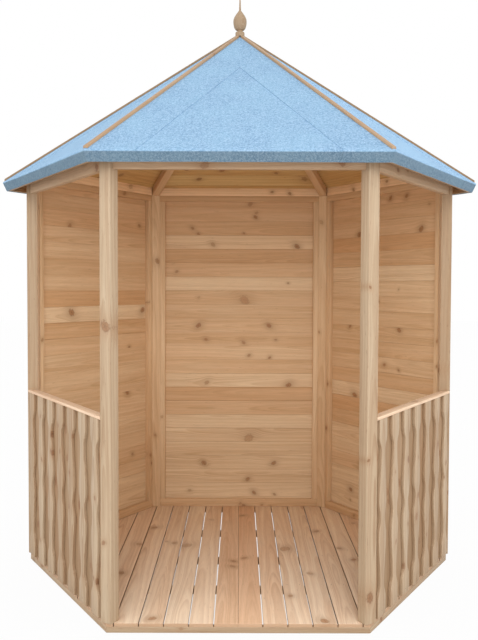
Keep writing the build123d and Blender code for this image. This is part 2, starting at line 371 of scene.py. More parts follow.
def knotLook(tree, u, v, ragged):
    # how far each knot pulls the grain aside, then its inside, rim, halo and heart
    dark = split(readAttribute(tree, "knotDark"))
    looks = []
    for index, knotName in enumerate(knotNames):
        ku, kv, kr = split(readAttribute(tree, knotName))
        alongKnot, acrossKnot = (u - ku) / kr, (v - kv) / kr
        lean = ((ku + kv) * 97.0).calc("SINE") * 0.7     # each knot leans its own way
        leanCos, leanSin = lean.calc("COSINE"), lean.calc("SINE")
        du = (alongKnot * leanCos + acrossKnot * leanSin) * 0.72     # longer along the grain
        dv = acrossKnot * leanCos - alongKnot * leanSin
        squared = du * du + dv * dv
        near = (squared * -0.14).calc("EXPONENT")
        away = squared.calc("SQRT") + (ragged - 0.5) * 1.5      # in the knot's radii, its edge ragged
        rim = (away - 0.95).calc("ABSOLUTE").ease(0.0, 0.34, 1, 0)
        turn = dv.calc("ARCTAN2", du) * 2.5 + (kr * 900.0 + ragged * 2.0)
        cracks = turn.calc("SINE").calc("ABSOLUTE").ease(0.0, 0.3, 1, 0) * away.ease(0.7, 1.7, 1, 0)
        heart = away.ease(0.1, 0.6, 0.85, 0.25) + (away * 21.0).calc("SINE") * 0.15
        marks = (away.ease(0.6, 1.15, 1, 0), rim.calc("MAXIMUM", cracks), near, heart)
        looks.append([acrossKnot * kr * near * 0.85] + [mark * dark[index] for mark in marks])
    pulls, *rest = zip(*looks)
    return [pulls[0] + pulls[1] + pulls[2]] + [a.calc("MAXIMUM", b).calc("MAXIMUM", c) for a, b, c in rest]


def woodMaterial(name, wood):
    material, tree = startMaterial(name)
    paint = {key: linear(*wood[key]) for key in ("pale", "deep", "warm", "late", "halo", "knot", "knotPale")}
    u, v, w = split(readAttribute(tree, "grain"))
    seedX, seedY, pithAcross = split(readAttribute(tree, "seed"))
    tone, warm, pithDepth = split(readAttribute(tree, "look"))
    plain = join(u + seedX, v + seedY, w + seedX)
    ragged = patternAt(plain, (110, 150, 150), 3, 0.6)
    pull, knotInside, knotRim, knotHalo, knotHeart = knotLook(tree, u, v, ragged)
    across = v - pull
    place = join(u + seedX, across + seedY, w + seedX)

    # growth rings: distance from a pith that runs a little askew of the board
    sway = (patternAt(place, (1.3, 5, 5), 2) - 0.5) * wood["sway"]
    dy, dz = across - pithAcross, w + pithDepth
    reach = (dy * dy + dz * dz).calc("SQRT") + sway + (u + seedX) * 0.012
    rings = (reach / wood["ringGap"]).calc("FRACT")
    late = rings.ease(0.25, 0.86) * rings.ease(0.88, 1.0, 1, 0)
    wideRings = (reach / (wood["ringGap"] * 3.7)).calc("FRACT")
    wideLate = wideRings.ease(0.1, 0.8) * wideRings.ease(0.82, 1.0, 1, 0)

    broad = patternAt(place, (0.6, 12, 12), 3, 0.55)
    streaks = patternAt(place, (1.8, 60, 60), 4, 0.6)
    fibres = patternAt(place, (14, 420, 420), 2)
    cloud = patternAt(plain, (2.2, 9, 9), 2)
    flecks = patternAt(place, (30, 190, 190), 1)

    shade = tone * -wood["toneReach"] + (broad - 0.5) * wood["broad"] + (streaks - 0.5) * wood["streak"]
    colour = blendOf((shade + wood["shade"]).clamped(), paint["pale"], paint["deep"])
    glow = (warm + (cloud - 0.5) * 0.9 + 0.25).clamped()
    colour = colour.mixed(paint["warm"], glow * 0.55)
    # tones above 1 go past the palest sapwood, which lets painted light lift faces in shade, and tones far
    # below 0 go darker than the deepest, used for painted shade on edges in the gaps and on the side
    # battens, and for the deck boards' end grain
    colour = colour.dimmed(tone.ease(1.0, 2.6, 1.0, 1.6) * tone.ease(-4.0, -1.8, 0.4, 1.0))
    colour = colour.mixed(paint["late"], late * (broad.ease(0.3, 0.7) * wood["ring"]))
    colour = colour.mixed(paint["late"], wideLate * wood["wideRing"])
    colour = colour.mixed(paint["knot"], flecks.ease(0.68, 0.8) * wood["fleck"])
    colour = colour.dimmed(fibres.ease(0.25, 0.75, 1 - wood["fibre"], 1 + wood["fibre"]))
    colour = colour.mixed(paint["halo"], knotHalo * 0.5)
    knotTone = blendOf(knotHeart, paint["knotPale"], paint["knot"])
    colour = colour.mixed(knotTone, knotInside * 0.72).mixed(paint["knot"], knotRim * 0.5)

    height = late * 0.4 + fibres * 0.5 - knotRim * 0.8
    rough = streaks.ease(0.2, 0.8, wood["rough"] - 0.07, wood["rough"] + 0.07) - knotInside * 0.12
    endMaterial(tree, colour, rough, height, wood["bump"], 0.0006, {"Specular IOR Level": 0.35})
    return material


pine = {
    "pale": (187, 166, 139), "deep": (154, 126, 95), "warm": (175, 137, 102),
    "late": (142, 104, 70), "halo": (154, 114, 78), "knot": (104, 64, 36), "knotPale": (152, 106, 68),
    "toneReach": 0.45, "shade": 0.42, "broad": 1.1, "streak": 0.9, "sway": 0.03,
    "ringGap": 0.0042, "ring": 0.5, "wideRing": 0.22, "fleck": 0.3, "fibre": 0.05,
    "rough": 0.62, "bump": 0.35,
}
planedTimber = woodMaterial("planedTimber", pine)
# the same pine for the inside, painted paler than the outer timber: painted light for the shade indoors
litWallTimber = woodMaterial("litWallTimber", dict(
    pine, pale=(232, 204, 166), deep=(198, 156, 110), warm=(224, 176, 130), late=(176, 130, 84),
    knot=(124, 74, 36), knotPale=(184, 130, 80), toneReach=0.55, broad=0.9, ring=0.34,
    wideRing=0.15, fleck=0.2))
# the same pine for the floor and the cap rails, painted paler still: painted light for the shade under the
# roof
litDeckTimber = woodMaterial("litDeckTimber", dict(
    pine, pale=(243, 224, 198), deep=(212, 176, 142), warm=(238, 194, 156), late=(190, 146, 110),
    knot=(136, 88, 54), knotPale=(196, 150, 110), ring=0.4))
# the same pine for the ceiling, painted darker and oranger than the inside copy: painted shade and warm
# bounce light under the roof
shadedRoofTimber = woodMaterial("shadedRoofTimber", dict(
    pine, pale=(220, 190, 134), deep=(190, 146, 86), warm=(210, 158, 98), late=(164, 118, 64)))
turnedTimber = woodMaterial("turnedTimber", dict(
    pine, pale=(176, 162, 138), deep=(148, 124, 98), warm=(160, 134, 106), ringGap=0.0035, sway=0.012))
print("timber materials made")

floorSizes = {
    "rimWidth": 0.028,
    "rimEasing": 0.0015,
    "boardPitch": 0.0996,
    "boardThickness": 0.014,
    "boardEasing": 0.0007,
    "boardLift": 0.0006,        # boards lie this much lower at most
    "gap": 0.0045,
    "outerGap": 0.0042,
    "middleGap": 0.0015,
    "middleSlit": 0.0001,
    "middleGroove": 0.0018,
    "sideTrim": 0.002,
    "paler": 0.12,              # added to the tone of every board: painted light that lifts the shade on the floor under the roof
    "endTone": -2.9,
    "litEdge": -1.6,            # painted shade on the sawn edge that shows in the first gap, lighter than on the others
    # painted shade on the other boards' long edges in the gaps
    "shadedEdge": -4.2,
    "bearerWidth": 0.045,
    "bearersAt": (-0.465, -0.060, 0.400),
}
# the front rim is painted darker, painted shade against the strong light on it, and the side rims paler
rimLooks = {"front": (-0.2, -0.2), "front_left": (1.2, 0.0), "front_right": (1.2, 0.0)}
# tone and warmth of the boards outwards from the middle joint, then their chosen knots
deckLooks = {
    "left": [(-0.6, 0.5), (0.6, 0.2), (0.9, 0.0), (0.6, 0.1), (0.9, 0.1), (0.5, 0.2),
             (0.4, 0.2), (0.6, 0.1), (0.5, 0.3), (0.4, 0.1), (0.5, 0.0)],
    "right": [(-0.9, 0.8), (0.2, 0.3), (0.8, 0.1), (0.7, 0.0), (0.6, 0.1), (0.9, 0.0),
              (0.4, 0.3), (0.6, 0.1), (0.5, 0.1), (0.6, 0.2), (0.5, 0.0)],
}
deckKnots = {
    "left": {2: [(0.10, 0.02, 0.022, 0.6)], 3: [(-0.86, 0.0, 0.012, 1.0)], 4: [(0.42, 0.02, 0.013, 0.8)],
             5: [(-0.32, 0.0, 0.012, 0.9), (0.12, -0.03, 0.012, 0.6)]},
    "right": {2: [(0.05, 0.01, 0.022, 0.7)], 3: [(-0.88, 0.0, 0.014, 1.0)], 4: [(0.36, 0.02, 0.012, 0.8)],
              5: [(-0.12, -0.02, 0.010, 0.8), (0.06, 0.03, 0.010, 0.7)]},
}


def makeBaseRims():
    shift = deckUnder / 2
    section = boxSection(-shift, shift, -floorSizes["rimWidth"], 0)
    for sideName, azimuth in sides.items():
        piece = newPiece("baseRim_" + sideName)
        draw = piece["random"]
        block = easeEdges(evenBlock(section, lambda y, z: side / 2 + z * tan30), floorSizes["rimEasing"])
        tone, warm = rimLooks.get(sideName, (0.0, 0.0))
        tone += draw.uniform(-0.5, 0.0)
        knots = looseKnots(draw, side / 2, shift, chance=0.4)
        addBlock(piece, block, lyingOn(azimuth, shift), tone, warm, knots)
        finishPiece(piece, planedTimber, "planed_timber", "base_rim_" + sideName)


def makeBearers():
    piece = newPiece("floorBearers")
    draw = piece["random"]
    width, middle = floorSizes["bearerWidth"] / 2, deckUnder / 2
    for position in floorSizes["bearersAt"]:
        reach = side / 2 + (apothem - abs(position) - width) / tan60
        half = reach - floorSizes["rimWidth"] / cos30 - fit["bearer"]
        block = evenBlock(boxSection(-width, width, -middle, middle), half)
        easeEdges(block, floorSizes["rimEasing"])
        place = standing(toRight, toBack, Vector((0, position, middle)))
        tone = draw.uniform(-0.4, 0.1)
        knots = looseKnots(draw, half, width, chance=0.5)
        addBlock(piece, block, place, tone, 0.0, knots)
    finishPiece(piece, planedTimber, "planed_timber", "floor_bearers")


def deckReach(x):
    # how far a floor board runs each way from the middle line at x across
    return min(apothem, (side - abs(x)) * tan60)


def planeCorner(block, across, width):
    # the two middle boards meet tightly under planed top corners
    corner = [edge for edge in block.edges
              if all(abs(vert.co.y - across) < 1e-6 and abs(vert.co.z) < 1e-6 for vert in edge.verts)]
    bmesh.ops.bevel(block, geom=corner, offset=width, segments=1, affect="EDGES")


def makeDeck():
    for halfName, hand in (("left", -1), ("right", 1)):
        piece = newPiece("deckBoards_" + halfName)
        draw = piece["random"]
        start, count = floorSizes["middleGap"] / 2, 0
        while start < side:
            gap = floorSizes["gap"] if count < 2 else floorSizes["outerGap"]
            end = min(start + floorSizes["boardPitch"] - gap, side - floorSizes["sideTrim"])
            cuts = [start if count else floorSizes["middleSlit"] / 2, end]
            if start < side / 2 < end:
                cuts.insert(1, side / 2)
            middle = hand * (cuts[0] + end) / 2
            outline = [(-deckReach(x), middle - hand * x) for x in cuts]
            outline += [(deckReach(x), middle - hand * x) for x in reversed(cuts)]
            block = outlineBlock(outline, -floorSizes["boardThickness"], 0)
            if count == 0:
                planeCorner(block, middle - hand * cuts[0], floorSizes["middleGroove"])
            easeEdges(block, floorSizes["boardEasing"], leastAngle=50)
            top = deckTop + draw.uniform(-floorSizes["boardLift"], 0.0)
            place = standing(toBack, -toRight, Vector((middle, 0, top)))
            tone, warm = deckLooks[halfName][count]
            tone += floorSizes["paler"]
            knots = deckKnots[halfName].get(count, [])
            knots = knots + looseKnots(draw, deckReach(middle), 0.04, chance=0.35)
            # the long edges are painted darker: painted shade in the gaps between the boards
            edgeShade = floorSizes["litEdge"] if count == 1 else floorSizes["shadedEdge"]
            addBlock(piece, block, place, tone, warm, knots, floorSizes["endTone"] - tone, edgeShade)
            start += floorSizes["boardPitch"]
            count += 1
        finishPiece(piece, litDeckTimber, "deck_boards", "deck_boards_" + halfName)


makeBaseRims()
makeBearers()
makeDeck()
print("floor made")

frameSizes = {
    "depth": 0.028,
    "stile": 0.031,
    "topRail": 0.034,
    "bottomRail": 0.045,
    "postEasing": 0.0022,
    "stripEasing": 0.0018,
    "stileEasing": 0.0016,
    "innerPaintedLight": 2.2,           # the inner faces of all but the back posts are painted paler: painted light where they face the shaded inside
}
postLooks = {"front_left": (0.55, -0.1), "front_right": (0.5, -0.1)}
postKnots = {
    "front_left": [(0.24, 0.002, 0.017, 0.9), (-0.62, -0.01, 0.007, 0.8)],
    "front_right": [(-0.835, -0.006, 0.014, 0.9), (0.396, -0.018, 0.005, 1.0), (-0.285, -0.018, 0.005, 1.0)],
}


def makePosts():
    half, middle = postSize / 2, (deckTop + frameTop) / 2

    def postTop(y, z):
        return apex - hipSlope * (postOuter - z) - rafterPlumb - middle

    for cornerName, azimuth in corners.items():
        piece = newPiece("cornerPost_" + cornerName)
        draw = piece["random"]
        block = sectionBlock(boxSection(-half, half, 0, postSize), lambda y, z: deckTop - middle, postTop)
        easeEdges(block, frameSizes["postEasing"], segments=3)
        place = standing(up, alongDir(azimuth), outDir(azimuth) * postOuter + up * middle)
        tone, warm = postLooks.get(cornerName, (draw.uniform(0.0, 0.4), 0.0))
        knots = postKnots.get(cornerName) or looseKnots(draw, 0.9, half, chance=0.6, small=0.005, big=0.011)
        atBack = cornerName.startswith("back")
        innerPaintedLight = 0.0 if atBack else frameSizes["innerPaintedLight"]
        addBlock(piece, block, place, tone, warm, knots, innerPaintedLight=innerPaintedLight)
        timber = litWallTimber if atBack else planedTimber
        finishPiece(piece, timber, "planed_timber", "corner_post_" + cornerName)


def addStrip(piece, azimuth, insetOut, insetIn, bottom, top, tone, warm=0.0, knotChance=0.4):
    # a straight member between two posts: grain along it, its height is across the grain
    middle = (bottom + top) / 2
    section = boxSection(bottom - middle, top - middle, -insetIn, -insetOut)
    block = easeEdges(fittedBlock(section), frameSizes["stripEasing"])
    knots = looseKnots(piece["random"], endAt(0), (top - bottom) / 2, knotChance)
    addBlock(piece, block, lyingOn(azimuth, middle), tone, warm, knots)


def makeHeaders():
    piece = newPiece("headerBoards")
    for sideName in openSides:
        # the header boards are painted paler and warmer, the paleness painted light that lifts the shade
        # under the eaves
        addStrip(piece, sides[sideName], 0, frameSizes["depth"], headerLow.z, headerHigh.z,
                 tone=1.5, warm=0.7, knotChance=0.7)
    finishPiece(piece, planedTimber, "planed_timber", "header_boards")


def makeWallFrames():
    depth = frameSizes["depth"]
    bottomEnd, topEnd = deckTop + frameSizes["bottomRail"], frameTop - frameSizes["topRail"]
    middle, half = (bottomEnd + topEnd) / 2, (topEnd - bottomEnd) / 2
    innerEnd, outerEnd = endAt(depth), endAt(0)
    edge = innerEnd - frameSizes["stile"]
    for sideName in wallSides:
        azimuth = sides[sideName]
        rails = newPiece(sideName + "WallRails")
        addStrip(rails, azimuth, 0, depth, deckTop, bottomEnd, tone=0.0, warm=0.1)
        addStrip(rails, azimuth, 0, depth, topEnd, frameTop, tone=-0.5, warm=0.1)
        finishPiece(rails, litWallTimber, "planed_timber", sideName + "_wall_rails")

        stiles = newPiece(sideName + "WallStiles")
        draw = stiles["random"]
        for hand in (-1, 1):
            shift = hand * (edge + innerEnd) / 2
            section = [(edge, 0), (outerEnd - fit["end"], 0), (innerEnd - fit["end"], depth), (edge, depth)]
            section = [(hand * y - shift, z) for y, z in section[::hand]]
            block = easeEdges(evenBlock(section, half), frameSizes["stileEasing"])
            place = standing(up, alongDir(azimuth), onSide(azimuth, 0, shift, middle))
            knots = looseKnots(draw, 0.85, 0.015, chance=0.55, small=0.004, big=0.008)
            addBlock(stiles, block, place, draw.uniform(0.0, 0.3), 0.0, knots)
        finishPiece(stiles, litWallTimber, "planed_timber", sideName + "_wall_stiles")


makePosts()
makeHeaders()
makeWallFrames()
print("posts, headers and wall frames made")

boarding = {
    "cover": 0.084,
    "thickness": 0.012,
    "chamfer": 0.0022,
    "openJoints": "bgh",        # letters of the boards with a full chamfer
    "closeJoint": 0.18,         # the others' share of it
    "joint": 0.0002,
    "tongue": 0.005,
    "tongueHalf": 0.0017,
    "tongueRoom": 0.0004,
    "grooveRoom": 0.001,
    "leastWidth": 0.004,
    "paintedLowLight": 1.0,             # the lowest boards are painted paler and cooler, the highest warmer: painted light low in the corners, painted warm bounce light under the roof
    "paintedLowCool": 0.5,
    "lowBoards": 8,
    "paintedTopWarmth": 0.12,
    "topBoards": 17,
}
# one letter for each board from the floor up: its tone and warmth
boardTones = {"a": (-0.9, 0.5), "b": (-0.55, 0.25), "c": (-0.2, 0.1), "d": (0.0, 0.0),
              "e": (0.0, 0.4), "f": (0.3, 0.1), "g": (0.75, -0.1), "h": (1.35, -0.2)}
firstBoards = {"back_right": 0.057}     # cut narrower than the others
wallLooks = {
    "back": "cdcddfgebgcfddddgebhccc",
    "back_left": "cccbbcdfddddcbgaccffedd",
    "back_right": "cdddeffbagbdcddffgcafcce",
}
wallKnots = {
    "back": {
        1: [(-0.094, -0.020, 0.009, 0.9), (0.30, -0.006, 0.007, 0.5), (-0.22, -0.03, 0.006, 0.7)],
        2: [(-0.056, -0.020, 0.009, 0.9)],
        3: [(0.215, -0.005, 0.010, 0.9), (-0.215, -0.005, 0.010, 0.9)],
        5: [(-0.061, -0.020, 0.020, 0.55)],
        9: [(0.196, -0.015, 0.010, 0.6), (-0.303, -0.030, 0.012, 1.0)],
        11: [(-0.061, -0.016, 0.007, 0.8), (-0.187, -0.030, 0.006, 1.0)],
        12: [(-0.028, -0.021, 0.008, 0.8)],
        13: [(0.247, -0.002, 0.011, 1.0), (-0.182, -0.002, 0.010, 1.0)],
        15: [(-0.033, -0.016, 0.020, 0.6), (0.245, 0.0, 0.006, 0.4)],
        19: [(0.159, -0.016, 0.010, 0.6), (-0.350, -0.025, 0.011, 1.0)],
        20: [(0.247, -0.036, 0.006, 0.8), (-0.028, -0.030, 0.004, 0.8)],
        21: [(-0.098, -0.017, 0.008, 0.9)],
        22: [(-0.066, -0.020, 0.010, 0.6)],
    },
    "back_left": {
        4: [(-0.32, 0.0, 0.007, 0.8)],
        8: [(-0.27, 0.034, 0.010, 1.0), (0.30, -0.01, 0.006, 0.7)],
        12: [(-0.29, -0.036, 0.006, 0.9)],
        14: [(0.21, 0.010, 0.015, 1.0), (-0.42, 0.01, 0.012, 1.0)],
        20: [(0.22, -0.034, 0.009, 0.8)],
    },
    "back_right": {
        2: [(0.26, 0.0, 0.010, 1.0)],
        4: [(0.17, 0.0, 0.008, 1.0), (-0.22, 0.0, 0.008, 0.8)],
        9: [(0.23, -0.030, 0.013, 1.0)],
        11: [(-0.03, 0.0, 0.007, 0.9), (-0.15, -0.020, 0.005, 0.9)],
        13: [(0.28, 0.033, 0.008, 0.9), (-0.15, 0.030, 0.010, 1.0)],
        20: [(0.20, -0.028, 0.012, 1.0), (-0.315, -0.024, 0.012, 1.0)],
        22: [(-0.07, -0.01, 0.009, 1.0), (-0.20, -0.01, 0.008, 0.9)],
    },
}


def matchedSection(width, zLow, zHigh, tongued, chamfer):
    # section of a tongued and grooved board, groove first, its middle at y = 0
    half, mid = width / 2, (zLow + zHigh) / 2
    edge = half - boarding["joint"]
    flat = edge - chamfer
    tongue, groove = boarding["tongueHalf"], boarding["tongueHalf"] + boarding["tongueRoom"]
    tip, root = half + boarding["tongue"], boarding["tongue"] + boarding["grooveRoom"] - half
    points = [(-edge, zLow + chamfer), (-flat, zLow), (flat, zLow), (edge, zLow + chamfer)]
    if tongued:
        points += [(edge, mid - tongue), (tip, mid - tongue), (tip, mid + tongue), (edge, mid + tongue)]
    points += [(edge, zHigh - chamfer), (flat, zHigh), (-flat, zHigh), (-edge, zHigh - chamfer)]
    points += [(-edge, mid + groove), (root, mid + groove), (root, mid - groove), (-edge, mid - groove)]
    return points


def makeWallBoards():
    lastStart = wallHigh.z - boarding["leastWidth"]
    for sideName in wallSides:
        piece = newPiece(sideName + "WallBoards")
        draw = piece["random"]
        bottom, count = wallLow.z, 0
        while bottom < lastStart:
            cover = boarding["cover"] if count else firstBoards.get(sideName, boarding["cover"])
            width = min(cover, wallHigh.z - bottom)
            letter = wallLooks[sideName][count]
            share = 1 if letter in boarding["openJoints"] else boarding["closeJoint"]
            section = matchedSection(width, 0, boarding["thickness"], bottom + cover < lastStart,
                                     boarding["chamfer"] * share)
            tone, warm = boardTones[letter]
            # painted light: the low boards paler and cooler, the high ones warmer
            low = max(0, 1 - count / boarding["lowBoards"])
            tone += draw.uniform(-0.08, 0.08) + boarding["paintedLowLight"] * low
            warm += boarding["paintedTopWarmth"] * max(0, count - boarding["topBoards"]) - boarding["paintedLowCool"] * low
            knots = wallKnots[sideName].get(count, [])
            knots = knots + looseKnots(draw, 0.48, 0.03, chance=0.12, small=0.004, big=0.008)
            place = lyingOn(sides[sideName], bottom + width / 2)
            addBlock(piece, fittedBlock(section), place, tone, warm, knots)
            bottom += cover
            count += 1
        finishPiece(piece, litWallTimber, "wall_boards", sideName + "_wall_boards")
        print("wall boards", sideName, count)


makeWallBoards()

balustrade = {
    "frontGap": 0.025,
    "sideGap": 0.002,
    "pickets": 7,
    "width": 0.084,
    "neck": 0.040,
    "bulge": 0.078,
    "waist": 0.048,
    "uneven": (-0.0015, 0.0008),    # how far the edges wander from these widths
    "thickness": 0.013,
    "straight": 0.070,          # at both ends, before the edges start to wave
    "curveSteps": 8,
    "bulgeShare": 0.22,
    "neckShare": 0.82,
    "picketEasing": 0.0014,
    # the pickets' long edges are painted darker: painted shade in the gaps
    "edgeShade": -0.8,
    "cap": 0.013,
    "capOut": 0.002,
    "capIn": 0.002,
    "capEasing": 0.003,
    "rail": 0.060,
    "railDepth": 0.016,
    "innerThickness": 0.010,
    "innerJoint": 0.0008,
    "innerEasing": 0.0012,
}
picketTop = capTop - balustrade["cap"]


def picketOutline(draw):
    # widths at the stops along each edge, eased from one to the next
    half = (picketTop - picketFoot) / 2
    wavy = half - balustrade["straight"]
    neckAt, bulgeAt, steps = balustrade["neckShare"], balustrade["bulgeShare"], balustrade["curveSteps"]
    stops = [(-1, "width"), (-neckAt, "neck"), (-bulgeAt, "bulge"), (0, "waist"),
             (bulgeAt, "bulge"), (neckAt, "neck"), (1, "width")]
    outline = []
    for hand in (1, -1):
        widths = [balustrade[key] / 2 + (0 if key == "width" else draw.uniform(*balustrade["uneven"]))
                  for share, key in stops]
        points = [(share * wavy, width) for (share, key), width in zip(stops, widths)]
        edge = [(-half, widths[0])]
        for (x, y), (nextX, nextY) in zip(points, points[1:]):
            for step in range(steps):
                blend = 0.5 - 0.5 * cos(pi * step / steps)
                edge.append((x + (nextX - x) * step / steps, y + (nextY - y) * blend))
        edge += [points[-1], (half, widths[-1])]
        outline += [(x, hand * y) for x, y in edge[::hand]]
    return outline


def picketPlace(step, hand):
    reach = endAt(0) - balustrade["width"] / 2
    first = balustrade["frontGap"] - reach
    pitch = (reach - balustrade["sideGap"] - first) / (balustrade["pickets"] - 1)
    return hand * (first + step * pitch)


def makePickets():
    for rowName, (azimuth, hand) in balustrades.items():
        piece = newPiece(rowName + "Pickets")
        draw = piece["random"]
        for step in range(balustrade["pickets"]):
            block = outlineBlock(picketOutline(draw), 0, balustrade["thickness"])
            easeEdges(block, balustrade["picketEasing"])
            middle = onSide(azimuth, 0, picketPlace(step, hand), (picketFoot + picketTop) / 2)
            place = standing(up, -alongDir(azimuth), middle)
            knots = looseKnots(draw, 0.38, 0.03, chance=0.75, small=0.004, big=0.011)
            tone, warm = draw.uniform(0.4, 1.1), draw.uniform(-0.2, 0.2)
            addBlock(piece, block, place, tone, warm, knots, edgeShade=balustrade["edgeShade"])
        finishPiece(piece, planedTimber, "planed_timber", rowName + "_pickets")


def makeInnerBoards():
    # upright boards that close the balustrades, their joints hidden behind the pickets
    piece = newPiece("balustradeInnerBoards")
    draw = piece["random"]
    thick, joint = balustrade["innerThickness"], balustrade["innerJoint"]
    middle, reach = (deckTop + picketTop) / 2, (picketTop - deckTop) / 2
    for azimuth, hand in balustrades.values():
        places = sorted(picketPlace(step, hand) for step in range(balustrade["pickets"]))
        edges = [-endAt(thick)] + places + [endAt(thick)]
        for left, right in zip(edges, edges[1:]):
            width = right - left - 2 * joint
            block = evenBlock(boxSection(-width / 2, width / 2, 0, thick), reach)
            easeEdges(block, balustrade["innerEasing"])
            place = standing(up, -alongDir(azimuth), onSide(azimuth, thick, (left + right) / 2, middle))
            knots = looseKnots(draw, 0.37, width * 0.35, chance=0.9, small=0.006, big=0.015)
            # the inner boards are painted darker than the pickets: painted shade in the gaps between them
            tone, warm = draw.uniform(-1.5, -0.8), draw.uniform(-0.2, 0.3)
            addBlock(piece, block, place, tone, warm, knots)
    finishPiece(piece, planedTimber, "planed_timber", "balustrade_inner_boards")


def makeRailsAndCaps():
    rails = newPiece("balustradeRails")
    caps = newPiece("capRails")
    height, front = balustrade["rail"], balustrade["innerThickness"]
    back = front + balustrade["railDepth"]
    outer = -(balustrade["thickness"] + balustrade["capOut"])
    inner = back + balustrade["capIn"]
    middle = (outer + inner) / 2
    outline = [(-endAt(outer), outer - middle), (endAt(outer), outer - middle),
               (endAt(inner), inner - middle), (-endAt(inner), inner - middle)]
    for sideName in ("front_left", "front_right"):
        azimuth = sides[sideName]
        for low in (deckTop, picketTop - height):
            addStrip(rails, azimuth, front, back, low, low + height, tone=-0.3)
        block = easeEdges(outlineBlock(outline, 0, balustrade["cap"]), balustrade["capEasing"], segments=3)
        place = standing(alongDir(azimuth), -outDir(azimuth), onSide(azimuth, middle, 0, picketTop))
        knots = looseKnots(caps["random"], 0.45, 0.02, chance=0.5)
        addBlock(caps, block, place, tone=0.0, warm=0.2, knots=knots)
    finishPiece(rails, planedTimber, "planed_timber", "balustrade_rails")
    # the caps take the floor's paler timber: painted light on their tops
    finishPiece(caps, litDeckTimber, "planed_timber", "cap_rails")


makePickets()
makeInnerBoards()
makeRailsAndCaps()
print("balustrades made")

hipSizes = {
    "rafterInset": 0.0035,
    "rafterPast": 0.012,
    "rafterEasing": 0.002,
    "blockMargin": 0.006,
    "battenWidth": 0.020,
    "battenHeight": 0.008,
    "battenStart": 0.0236,
    "battenSetback": 0.009,
    "battenGap": 0.0004,
    "battenEasing": 0.0012,
    "capFelt": 0.0022,          # thickness of the strip of felt folded over the hip
}
rafterWidth = postSize - 2 * hipSizes["rafterInset"]
blockApothem = rafterWidth / 2 / tan30 + hipSizes["blockMargin"]
battenFoot = hipSizes["capFelt"] * hipLength + hipSizes["battenGap"]


def addHipMember(piece, azimuth, section, start, end, easing, tone, warm, knots):
    # section points are (across, plumb from the ridge of the hip), start and end are level distances
    down = (outDir(azimuth) - up * hipSlope) / hipLength
    points = [(y, h / hipLength) for y, h in section]
    block = sectionBlock(points, lambda y, z: start * hipLength - z * hipSlope,
                         lambda y, z: end * hipLength - z * hipSlope)
    place = standing(down, alongDir(azimuth), up * apex)
    addBlock(piece, easeEdges(block, easing), place, tone, warm, knots)


def makeRafters():
    piece = newPiece("hipRafters")
    draw = piece["random"]
    half = rafterWidth / 2
    shoulder = -boardPlumb - faceSlope * half / 2
    section = [(-half, -rafterPlumb), (half, -rafterPlumb), (half, shoulder),
               (0, -boardPlumb), (-half, shoulder)]
    for azimuth in corners.values():
        tone, knots = draw.uniform(-0.2, 0.3), looseKnots(draw, 1.1, 0.015, chance=0.4)
        addHipMember(piece, azimuth, section, blockApothem, postOuter + hipSizes["rafterPast"],
                     hipSizes["rafterEasing"], tone, warm=0.1, knots=knots)
    finishPiece(piece, litWallTimber, "planed_timber", "hip_rafters")


def makeBattens():
    piece = newPiece("hipBattens")
    draw = piece["random"]
    half, top = hipSizes["battenWidth"] / 2, battenFoot + hipSizes["battenHeight"]
    shoulder = battenFoot - faceSlope * half / 2
    section = [(-half, shoulder), (0, battenFoot), (half, shoulder), (half, top), (-half, top)]
    for azimuth in corners.values():
        # the strips at the two sides are painted darker: painted shade on the side hips
        tone, warm = (-2.4, -0.3) if azimuth in (0, 180) else (draw.uniform(-0.3, 0.2), 0.5)
        knots = looseKnots(draw, 1.1, 0.008, chance=0.5, small=0.003, big=0.005)
        addHipMember(piece, azimuth, section, hipSizes["battenStart"],
                     eaveRadius - hipSizes["battenSetback"], hipSizes["battenEasing"], tone, warm, knots)
    finishPiece(piece, planedTimber, "planed_timber", "hip_battens")


def makeApexBlock():
    piece = newPiece("apexBlock")
    radius, half = blockApothem / cos30, (blockHigh.z - blockLow.z) / 2
    turns = [radians(turn) for turn in range(30, 390, 60)]
    section = [(radius * cos(turn), radius * sin(turn)) for turn in turns]
    block = easeEdges(evenBlock(section, half), hipSizes["rafterEasing"])
    addBlock(piece, block, standing(up, toRight, up * (blockLow.z + half)), tone=0.0, warm=0.1)
    finishPiece(piece, planedTimber, "planed_timber", "apex_block")


# boards and strips that close the roof round its edge, and the boarding under the felt
eaves = {"plateEasing": 0.001, "fasciaEasing": 0.0012}
ceiling = {
    "cover": 0.088,
    "chamfer": 0.001,
    "topEdge": 0.028,           # how far down the slope from the apex the last board ends
    "lastStart": 0.06,
    "tones": "dcfbdgcedbfc",    # letters of the boards upwards, begun further on at each side
    "toneShare": 0.7,
    "leastKnotty": 0.1,         # half length of the shortest board with knots
}


def makePlates():
    piece = newPiece("roofPlates")
    draw = piece["random"]
    depth = frameSizes["depth"]
    outerHeight = apex - faceSlope * apothem - boardPlumb - frameTop
    innerHeight = outerHeight + faceSlope * depth
    middle = innerHeight / 2
    section = [(-middle, -depth), (-middle, 0), (outerHeight - middle, 0), (innerHeight - middle, -depth)]
    for azimuth in sides.values():
        block = easeEdges(fittedBlock(section), eaves["plateEasing"])
        # the plates are painted very pale: painted light that lifts the shade under the ceiling
        tone, knots = draw.uniform(1.4, 1.8), looseKnots(draw, 0.45, middle, chance=0.4)
        addBlock(piece, block, lyingOn(azimuth, frameTop + middle), tone, warm=0.5, knots=knots)
    finishPiece(piece, litWallTimber, "planed_timber", "roof_plates")


def flapPoint(rise, level):
    # a point this far up the turned-down edge and this far in from its outer line
    return (eaveApothem - roof["flapLean"] + rise * flapTilt - level, eaveHeight - roof["flapDrop"] + rise)


